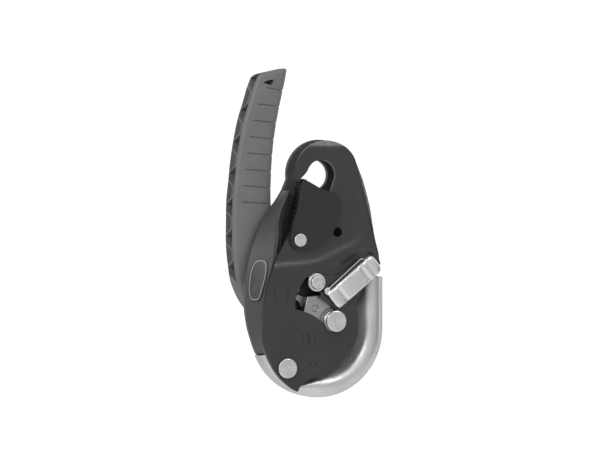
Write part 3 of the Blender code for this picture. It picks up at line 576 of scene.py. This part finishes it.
def make_axle(coat):
    """The cam axle: a proud head, a groove for the plate and the plain shaft."""
    lowest, highest = low("cam_axle"), high("cam_axle")
    radius = (highest.x - lowest.x) / 2
    front, back = lowest.y, highest.y
    plate_front = low("moving_side_plate").y
    plate_back = plate_front + 3.0
    neck, shaft, thread = 5.6, 6.2, 5.0
    shoulder = 10.1
    profile = [(0.0, front + 0.15), (1.5, front + 0.13), (1.8, front), (radius - 0.8, front),
               (radius - 0.22, front + 0.22), (radius, front + 0.8), (radius, plate_front - 1.6),
               (radius - 0.5, plate_front - 1.4), (radius - 0.5, plate_front - 1.0),
               (radius, plate_front - 0.8), (radius, plate_front - 0.5),
               (neck, plate_front - 0.4), (neck, plate_back + 0.4),
               (shaft, plate_back + 0.5), (shaft, shoulder), (thread, shoulder + 0.1),
               (thread, back - 0.4), (thread - 0.4, back), (0.0, back)]
    item = turned("axle_shape", flat(AXLE), profile)
    round_edges(item, 0.08, 2)
    show(item, coat, "frame", ["cam_axle"])


WEAR_START = 202.0
WEAR_TOP = -66.5
WEAR_SHEET = 1.4
WEAR_STEPS = 60
WIDENS_FROM = 233.0
WIDENS_OVER = 35.0
BOWL = (1.4, -100.2)
BOWL_RADIUS = 44.4


def wear_section(blend):
    """The wear plate's outer surface from its foot to its skirt, as (radius, depth)."""
    outer = BOWL_RADIUS
    foot = FIXED_FRONT - 0.3
    skirt = 9.7
    crest = WALL_FRONT
    wide = [(outer - 22.2, foot - WEAR_SHEET), (outer - 18.4, foot - WEAR_SHEET), (outer - 15.9, 1.4),
            (outer - 14.2, -0.8), (outer - 11.6, crest + 1.5), (outer - 8.6, crest + 0.2),
            (outer - 5.2, crest + 0.5), (outer - 2.4, crest + 2.0), (outer, crest + 4.4), (outer, skirt)]
    narrow = [(outer - 4.4, foot - WEAR_SHEET), (outer - 4.3, foot - 3.0), (outer - 4.2, 1.0),
              (outer - 4.0, crest + 3.0), (outer - 3.4, crest + 1.0), (outer - 2.4, crest),
              (outer - 1.4, crest + 0.5), (outer - 0.6, crest + 2.0), (outer, crest + 4.4), (outer, skirt)]
    mixed = [tuple(n + (w - n) * blend for n, w in zip(one, two)) for one, two in zip(narrow, wide)]
    return thickened(smooth(mixed, 4), WEAR_SHEET)


def thickened(line, thickness):
    """A closed outline: an open line and its copy moved to the left of its direction."""
    copy = []
    for i, point in enumerate(line):
        before = line[max(i - 1, 0)]
        after = line[min(i + 1, len(line) - 1)]
        run = Vector((after[0] - before[0], after[1] - before[1])).normalized()
        copy.append((point[0] - run.y * thickness, point[1] + run.x * thickness))
    return list(line) + copy[::-1]


def make_wear_plate(coat):
    """The folded steel plate that the rope runs over, around the lower right."""
    rings = []
    for i in range(WEAR_STEPS + 1):
        angle = WEAR_START + (360.0 - WEAR_START) * i / WEAR_STEPS
        section = wear_section(soft_step((angle - WIDENS_FROM) / WIDENS_OVER))
        rings.append([(*polar(BOWL, radius, angle), depth) for radius, depth in section])
    for i in range(1, 7):
        z = BOWL[1] + (WEAR_TOP - BOWL[1]) * i / 6
        rings.append([(BOWL[0] + radius, z, depth) for radius, depth in wear_section(1.0)])
    plate = loft("wear_shape", [[(x, depth, z) for x, z, depth in ring] for ring in rings])
    round_edges(plate, 0.35, 2, 55.0)
    show(plate, coat, "frame", ["wear_plate"])


BRAKE_AIM = 39.3
BRAKE_SHEET = 1.6
BRAKE_TOP = -12.5
BRAKE_ACROSS = [
    # place across the folded sheet, and how far it's set back there
    (-23.0, 1.3), (-22.8, 0.7), (-22.3, 0.25), (-21.4, 0.0), (-20.0, 0.0), (-19.0, 0.0), (-16.0, 0.0),
    (-13.0, 0.0), (-11.5, 0.0), (-10.8, 0.12), (-10.2, 0.5), (-9.8, 1.1), (-9.6, 1.9)]


def along_brake(u, v):
    """A front-view point from distances along and across the folded brake, from its pin."""
    turn = math.radians(BRAKE_AIM)
    return (BRAKE_PIVOT.x + u * math.cos(turn) - v * math.sin(turn),
            BRAKE_PIVOT.z + u * math.sin(turn) + v * math.cos(turn))


def brake_end(u, v):
    """Draw the folded sheet in at its corners, by how far a point is from them."""
    edge = max(-19.0 - v, v + 13.0, 0.0)
    trim = edge * edge * 0.16
    if u > 34.0:
        return u - trim * (u - 34.0) / 6.6
    if u < 5.0:
        return u + trim * 0.25 * (5.0 - u) / 4.6
    return u


BRAKE_ALONG = [
    # place along the folded sheet from its pin, and how far it's set back there
    (0.4, 1.5), (1.0, 1.0), (2.2, 0.7), (6.4, 0.35), (7.0, 0.6), (8.2, 1.0), (9.2, 0.9), (10.0, 0.25),
    (10.8, 0.0), (18.0, 0.0), (26.0, 0.0), (27.2, 0.1), (28.0, 0.9), (29.2, 1.2), (30.2, 0.8), (30.8, 0.4),
    (32.2, 0.35), (32.8, 0.7), (33.8, 1.1), (34.8, 0.8), (36.6, 0.8), (38.6, 1.05), (39.6, 1.35), (40.3, 1.7),
    (40.6, 2.2)]
ARM_FRONT = -9.0
ARM_BACK = -8.0
FOLD_FRONT = -10.9
RIM_FRONT = -11.4


def brake_outline(places):
    """A front-view outline from places along and across the folded brake."""
    return [along_brake(u, v) for u, v in places]


def make_brake_sheet(coat):
    """The folded steel guide over the rope's exit, and the web that joins it to its arm."""
    section = thickened([(u, BRAKE_TOP + back) for u, back in BRAKE_ALONG], BRAKE_SHEET)
    rings = []
    for v, back in BRAKE_ACROSS:
        places = [(*along_brake(brake_end(u, v), v), depth + back) for u, depth in section]
        rings.append([(x, depth, z) for x, z, depth in places])
    sheet = loft("brake_shape", rings)
    web = brake_outline([(9.0, -9.9), (32.0, -9.9), (32.0, -11.6), (9.0, -11.6)])
    join(sheet, prism("web", web, BRAKE_TOP + 0.9, ARM_BACK - 0.4))
    crisp(sheet, 50)
    show(sheet, coat, "brake", ["auxiliary_brake"])


def make_brake_flange(coat, painted_reflection_coat):
    """The fold along the sheet's upper edge, coloured with the dark plate coat as a painted dark reflection on its
    steel, with its bright rim and the tab at its end.
    """
    outline = brake_outline([(4.6, -8.1), (32.5, -7.5), (34.0, -8.6), (34.0, -10.0), (3.4, -10.0)])
    fold = prism("brake_fold_painted_dark", outline, FOLD_FRONT, ARM_FRONT + 0.2)
    round_edges(fold, 0.3, 2)
    # painted dark reflection: the steel fold gets the dark anodised plate coat in place of the dark that its steel
    # reflects
    show(fold, painted_reflection_coat, "brake")
    outline = brake_outline([(3.4, -8.3), (4.6, -7.7), (32.6, -7.1), (34.6, -8.6), (34.2, -8.9), (32.4, -7.7),
                             (4.8, -8.3), (3.8, -8.7)])
    rim = prism("brake_rim", outline, RIM_FRONT, FOLD_FRONT + 0.3)
    round_edges(rim, 0.15, 2)
    show(rim, coat, "brake")
    tab = disc("brake_tab", along_brake(2.2, -9.4), 2.5, ARM_FRONT - 1.6, ARM_FRONT - 0.2, 24)
    round_edges(tab, 0.4, 3)
    show(tab, coat, "brake")


def make_brake_arm(coat, coat_arm):
    """The dark arm that the brake hangs on, and the steel ring round its pin."""
    pin = flat(BRAKE_PIVOT)
    outline = [polar(pin, 4.4, 80 + 10.0 * i) for i in range(22)]
    outline += brake_outline([(4.0, -12.2), (31.0, -12.4), (31.0, -8.4), (12.0, -5.4)])
    arm = prism("brake_arm", outline, ARM_FRONT, ARM_BACK)
    cut(arm, disc("bore", pin, 2.65, -14.0, -5.0, 36))
    round_edges(arm, 0.3, 2)
    show(arm, coat_arm, "brake")
    eye = ring_solid("brake_eye", pin, [(5.9, -9.9), (5.9, -8.2), (4.3, -8.1), (4.3, -9.9), (4.6, -10.2),
                                        (5.6, -10.2)])
    even_shading(eye)
    show(eye, coat, "brake")


def flank_point(z, share, lift):
    """A point on the flank's sloping face: share of the way from its front to its back edge."""
    rows = sorted(FLANK)
    below = max(row for row in rows if row[0] <= z)
    above = min(row for row in rows if row[0] >= z)
    t = 0.0 if above[0] == below[0] else (z - below[0]) / (above[0] - below[0])
    front = below[1] + (above[1] - below[1]) * t
    back = below[2] + (above[2] - below[2]) * t
    length = math.hypot(back - front, FIXED_FRONT - WALL_FRONT)
    along = ((back - front) / length, (FIXED_FRONT - WALL_FRONT) / length)
    return (front + along[0] * length * share - along[1] * lift,
            WALL_FRONT + along[1] * length * share + along[0] * lift, z)


def badge_outline(shrink):
    """The outline of the oblong badge as (height, share) pairs."""
    middle, half_height, half_share = -68.0, 13.4 - shrink, 0.36 - shrink * 0.055
    points = []
    for i in range(48):
        turn = 2 * math.pi * i / 48
        x, z = math.cos(turn), math.sin(turn)
        points.append((middle + half_height * math.copysign(abs(z) ** 0.8, z),
                       0.48 + half_share * math.copysign(abs(x) ** 0.55, x)))
    return points


def make_badge(coat, coat_rim):
    """The blank badge on the flank and its thin raised rim."""
    face = loft("badge_shape", [[flank_point(z, share, lift) for z, share in badge_outline(shrink)]
                                for shrink, lift in ((0.0, 0.55), (0.0, 0.85), (0.4, 0.95))])
    crisp(face, 35)
    show(face, coat, "frame", ["flank_badge"])
    outer, inner = badge_outline(0.55), badge_outline(1.15)
    section = ((outer, 0.9), (outer, 1.08), (inner, 1.08), (inner, 0.9))
    rim = looped("badge_rim", [[flank_point(z, share, lift) for z, share in outline]
                               for outline, lift in section])
    crisp(rim, 35)
    show(rim, coat_rim, "frame")


MARK_WIDTH = 0.7
MARK_FRONT = -10.5
MARK_FLOOR = -8.85


def stroke(points, width):
    """An engraved line of the front view as a cutter."""
    side = []
    for i, point in enumerate(points):
        before, after = points[max(i - 1, 0)], points[min(i + 1, len(points) - 1)]
        run = Vector((after[0] - before[0], after[1] - before[1])).normalized() * width / 2
        side.append(((point[0] - run.y, point[1] + run.x), (point[0] + run.y, point[1] - run.x)))
    outline = [one for one, two in side] + [two for one, two in side[::-1]]
    return prism("stroke", outline, MARK_FRONT, MARK_FLOOR)


def marks():
    """Generic engraved signs: a loop with an arrowhead and a dash, three bars and a double chevron."""
    turns = [math.radians(165 + 15 * i) for i in range(14)]
    loop = [(-31.2, -70.5), (-32.2, -77.0)]
    loop += [(-27.6 + 4.3 * math.cos(turn), -80.5 + 4.0 * math.sin(turn)) for turn in turns]
    loop += [(-23.4, -77.0), (-22.8, -71.5)]
    arrowhead = [(-25.2, -73.6), (-22.7, -70.4), (-20.6, -74.0)]
    dash = [(-29.6, -73.5), (-27.2, -73.2)]
    bars = [[(-12.9, -102.0), (-12.3, -109.6)], [(-8.8, -102.4), (-8.2, -110.0)],
            [(-4.6, -102.8), (-4.0, -110.4)]]
    chevrons = [[(-10.6, -119.0), (-7.2, -122.8), (-10.4, -126.6)],
                [(-6.6, -119.0), (-3.2, -122.8), (-6.4, -126.6)]]
    return [stroke(line, MARK_WIDTH) for line in [loop, arrowhead, dash, *bars, *chevrons]]


SHOULDER = [
    # the curve along which the front plate steps back behind the gate
    (-34.0, -58.5), (-27.0, -57.5), (-15.0, -56.8), (-3.0, -55.0), (4.0, -52.2), (11.0, -48.8), (18.0, -45.8),
    (22.5, -43.6), (26.0, -40.5), (28.2, -36.5), (29.4, -31.0), (29.6, -26.0), (28.8, -19.0), (27.2, -12.5),
    (25.4, -5.0), (23.0, 2.0), (20.5, 9.0), (18.0, 15.0)]
SHOULDER_RUN = 5.0
SHOULDER_FADE = (-10.0, 12.0)
PLATE_STEP = 1.2
FOLD_BOTTOM = (37.2, -43.0)
FOLD_TOP = (22.3, 13.0)
FOLD_SLOPE = 0.9
CREASE = 18.4
CREASE_SLOPE = 0.38
POCKET_EDGE = [
    # the soft-edged pocket that the brake's arm lies in, clockwise
    (-10.2, -69.5), (-9.2, -66.0), (-7.0, -64.0), (-1.4, -61.2), (4.5, -58.6), (13.0, -55.4), (22.0, -49.6),
    (28.0, -47.0), (35.0, -48.6), (48.0, -55.0), (48.0, -62.0), (36.5, -64.5), (28.5, -72.0), (20.0, -79.0),
    (13.4, -83.2), (3.2, -79.2), (-1.4, -76.2), (-6.0, -75.6), (-9.2, -73.0), (-10.2, -69.5)]
POCKET_SINK = 1.9
POCKET_RUN = 3.2
GRID = 1.6
SHOULDER_CURVE = smooth(SHOULDER, 3)


def beside(curve, point):
    """The signed distance of a point from an open curve, positive on its left."""
    best = math.inf
    for one, two in zip(curve, curve[1:]):
        run = (two[0] - one[0], two[1] - one[1])
        off = (point[0] - one[0], point[1] - one[1])
        t = min(max((off[0] * run[0] + off[1] * run[1]) / (run[0] ** 2 + run[1] ** 2), 0.0), 1.0)
        gap = math.hypot(off[0] - run[0] * t, off[1] - run[1] * t)
        if gap < abs(best):
            best = math.copysign(gap, run[0] * off[1] - run[1] * off[0])
    return best


def plate_relief(x, z):
    """How far the moving plate's front is set back from its foremost flat."""
    inside = soft_step(beside(SHOULDER_CURVE, (x, z)) / SHOULDER_RUN + 0.5)
    start, end = SHOULDER_FADE
    fade = 1 - soft_step((z - start) / (end - start))
    back = PLATE_STEP * (1 - (1 - inside) * fade)
    across = Vector((FOLD_TOP[1] - FOLD_BOTTOM[1], FOLD_BOTTOM[0] - FOLD_TOP[0])).normalized()
    beyond = across.x * (x - FOLD_TOP[0]) + across.y * (z - FOLD_TOP[1])
    back += FOLD_SLOPE * max(beyond, 0.0)
    back += CREASE_SLOPE * max(z - CREASE, 0.0)
    return back + POCKET_SINK * soft_step(-beside(POCKET_EDGE, (x, z)) / POCKET_RUN)


def flattened(node):
    """A plate's mesh with everything on its front brought to its foremost flat."""
    work = welded(node)
    front = low(node).y * MM
    facing = {vert for face in work.faces if face.normal.y < -0.3 for vert in face.verts}
    for vert in facing:
        vert.co.y = front
    bmesh.ops.remove_doubles(work, verts=work.verts, dist=1e-5)
    bmesh.ops.dissolve_degenerate(work, edges=work.edges, dist=1e-6)
    return merge_flats(work)


def gridded(item, lowest, highest):
    """Divide a piece's faces by a grid of planes across the front view."""
    work = bmesh.new()
    work.from_mesh(item.data)
    for axis in (0, 2):
        normal = [0.0, 0.0, 0.0]
        normal[axis] = 1.0
        place = lowest[axis] + GRID
        while place < highest[axis]:
            bmesh.ops.bisect_plane(work, geom=work.verts[:] + work.edges[:] + work.faces[:], dist=1e-7,
                                   plane_co=[place * MM * share for share in normal], plane_no=normal)
            place += GRID
    return work


def make_moving_plate(coat):
    """The front plate with its soft shoulder, folded edge, chamfered top and engraved signs."""
    front = low("moving_side_plate").y
    plate = to_object(flattened("moving_side_plate"), "plate_shape")
    round_edges(plate, 0.5, 3)
    plate.modifiers.clear()
    work = gridded(plate, low("moving_side_plate"), high("moving_side_plate"))
    bpy.data.objects.remove(plate, do_unlink=True)
    for vert in work.verts:
        if vert.co.y < (front + 0.6) * MM:
            vert.co.y += plate_relief(vert.co.x / MM, vert.co.z / MM) * MM
    plate = to_object(work, "plate_shape")
    for tool in marks():
        cut(plate, tool)
    even_shading(plate)
    show(plate, coat, "side_plate", ["moving_side_plate"])


FILLET_HEIGHTS = (-15.0, -18.0, -22.0, -26.0, -30.0, -34.0, -38.0, -42.0, -46.0, -50.0, -54.0)


def fillet_ring(z):
    """The fillet's section at a height, drawn in towards both of its ends."""
    start = flank_point(z, 0.0, 0.0)[0] + 1.0
    reach = 7.0 * soft_step((z + 62.0) / 14.0) * soft_step((-11.0 - z) / 8.0) + 0.6
    rise = FIXED_FRONT - WALL_FRONT - 0.5
    ring = []
    for i in range(10):
        share = math.sin(math.radians(10 * i))
        ring.append((start + reach * share, FIXED_FRONT - rise * (1 - share) ** 1.4, z))
    return ring + [(start + reach, FIXED_FRONT + 0.5, z), (start, FIXED_FRONT + 0.5, z)]


def make_fillet(coat):
    """The fillet that leads from the flank's front edge down to the fixed plate."""
    fillet = loft("fillet", [fillet_ring(z) for z in FILLET_HEIGHTS])
    crisp(fillet, 45)
    show(fillet, coat, "frame")


def make_gate(coat):
    """The gate: soft edges, and the grip grooves in its thumb wall."""
    gate = to_object(merge_flats(welded("gate")), "gate_shape")
    wall = smooth([(-13.4, -2.5), (-15.3, -9.8), (-17.4, -22.0), (-20.0, -30.0)], 12)
    tools = []
    for i in range(8):
        z = -9.6 - 2.95 * i
        x = min(wall, key=lambda point: abs(point[1] - z))[0]
        outline = [polar((x - 0.35, z), 0.95, 30.0 * k) for k in range(12)]
        tools.append(prism(f"grip_{i}", outline, -7.6, 3.0))
    round_edges(gate, 0.45, 3)
    gate.modifiers.clear()
    cut(gate, merged("grips", tools))
    even_shading(gate)
    show(gate, coat, "gate", ["gate"])


CAMERA_AZIMUTH = math.radians(-21.0)
CAMERA_ELEVATION = math.radians(1.0)
CAMERA_AWAY = 2.6
CAMERA_AIM = (-7.3, 2.8, -32.5)
PICTURE_WIDTH = 0.3965


def camera():
    """A long lens at the front left, level with the device."""
    data = bpy.data.cameras.new("camera")
    item = bpy.data.objects.new("camera", data)
    bpy.context.scene.collection.objects.link(item)
    back = Vector((math.sin(CAMERA_AZIMUTH) * math.cos(CAMERA_ELEVATION),
                   -math.cos(CAMERA_AZIMUTH) * math.cos(CAMERA_ELEVATION),
                   math.sin(CAMERA_ELEVATION)))
    item.location = Vector(CAMERA_AIM) * MM + back * CAMERA_AWAY
    item.rotation_mode = "QUATERNION"
    item.rotation_quaternion = (-back).to_track_quat("-Z", "Y")
    data.lens = data.sensor_width * CAMERA_AWAY / PICTURE_WIDTH
    bpy.context.scene.camera = item


def area_light(name, place, aim, size, power):
    """A soft box."""
    data = bpy.data.lights.new(name, "AREA")
    data.shape = "RECTANGLE"
    data.size, data.size_y = size
    data.energy = power
    item = bpy.data.objects.new(name, data)
    item.location = place
    item.rotation_mode = "QUATERNION"
    item.rotation_quaternion = (Vector(aim) - Vector(place)).to_track_quat("-Z", "Y")
    bpy.context.scene.collection.objects.link(item)


FLAG_AIM = (0.87, -0.49, 0.0)
BACKDROP_AIM = (0.36, 0.93, 0.0)


def toward(world, aim, start, end, lowest, highest):
    """A strength that goes smoothly from one value to another towards a direction of the sky."""
    nodes, links = world.node_tree.nodes, world.node_tree.links
    place = nodes.new("ShaderNodeTexCoord")
    along = nodes.new("ShaderNodeVectorMath")
    along.operation = "DOT_PRODUCT"
    along.inputs[1].default_value = aim
    links.new(place.outputs["Generated"], along.inputs[0])
    step = nodes.new("ShaderNodeMapRange")
    step.interpolation_type = "SMOOTHSTEP"
    step.inputs["From Min"].default_value = start
    step.inputs["From Max"].default_value = end
    step.inputs["To Min"].default_value = lowest
    step.inputs["To Max"].default_value = highest
    links.new(along.outputs["Value"], step.inputs["Value"])
    return step.outputs["Result"]


def studio():
    """A white backdrop behind, a dimmer studio with one dark flag, soft boxes and a pale floor."""
    world = bpy.data.worlds.new("studio")
    bpy.context.scene.world = world
    world.use_nodes = True
    nodes, links = world.node_tree.nodes, world.node_tree.links
    flag = toward(world, FLAG_AIM, 0.90, 0.97, 0.62, 0.08)
    backdrop = toward(world, BACKDROP_AIM, 0.88, 0.975, 0.0, 0.45)
    total = nodes.new("ShaderNodeMath")
    links.new(flag, total.inputs[0])
    links.new(backdrop, total.inputs[1])
    links.new(total.outputs["Value"], nodes["Background"].inputs["Strength"])
    nodes["Background"].inputs["Color"].default_value = (1.0, 1.0, 1.0, 1.0)
    area_light("key", (-1.0, -0.75, 0.7), (0.0, 0.0, -0.03), (0.5, 0.5), 11.0)
    area_light("top", (0.45, -1.0, 0.85), (0.0, 0.0, -0.03), (0.5, 0.3), 5.0)
    area_light("side", (1.2, 0.1, 0.15), (0.0, 0.0, -0.05), (0.3, 1.0), 1.6)
    bpy.context.scene.view_settings.view_transform = "Standard"
    floor_coat = principled("floor_paint", (0.85, 0.85, 0.85), 0.0, 0.8)
    vary_roughness(floor_coat, noise(floor_coat, 20.0), 0.75, 0.85)
    work = bmesh.new()
    bmesh.ops.create_circle(work, cap_ends=True, segments=96, radius=1.4)
    floor = to_object(work, "floor")
    floor.location.z = -0.45
    floor.data.materials.append(floor_coat)


def main():
    """Build the picture."""
    plate_metal = anodised("plate_metal", 0.020, 0.34)
    body_metal = anodised("body_metal", 0.040, 0.38)
    sheet_steel = brushed("sheet_steel", 0.70, 0.38, (1.0, 1.0, 0.06), (0.0, math.radians(BRAKE_AIM), 0.0))
    wear_steel = brushed("wear_steel", 0.62, 0.42, (1.0, 1.0, 0.06))
    inner_steel = brushed("inner_steel", 0.40, 0.36, (0.06, 1.0, 1.0))
    pin_steel = lathed("turned_steel", 0.70, 0.28)
    nylon = moulded("handle_nylon", (0.120, 0.125, 0.1225), 0.55, 1500.0, 0.05)
    gate_nylon = moulded("gate_nylon", (0.008, 0.008, 0.0083), 0.45, 1800.0, 0.03)
    label = moulded("label_face", (0.040, 0.040, 0.041), 0.5, 900.0, 0.03)
    label_rim = moulded("label_rim", (0.24, 0.24, 0.24), 0.5, 900.0, 0.02)

    coats = {"anodised_plate": plate_metal, "body_plate": body_metal, "brushed_steel": inner_steel,
             "pin_steel": inner_steel, "handle_plastic": nylon, "gate_plastic": gate_nylon, "label": label}
    for part in frame["record"]["subparts"]:
        node = NODES[part["node"]]
        node.data.materials.clear()
        node.data.materials.append(coats[part["material_slot"]])

    make_heads(pin_steel)
    make_axle(pin_steel)
    make_handle(nylon)
    make_wear_plate(wear_steel)
    make_brake_sheet(sheet_steel)
    # the steel fold of the brake gets the dark plate coat as a painted dark reflection
    make_brake_flange(sheet_steel, plate_metal)
    make_brake_arm(sheet_steel, plate_metal)
    make_badge(label, label_rim)
    make_moving_plate(plate_metal)
    make_fillet(body_metal)
    make_gate(gate_nylon)
    refined("fixed_side_plate", body_metal, 0.4)
    refined("cam", inner_steel, 0.2)


main()
camera()
studio()
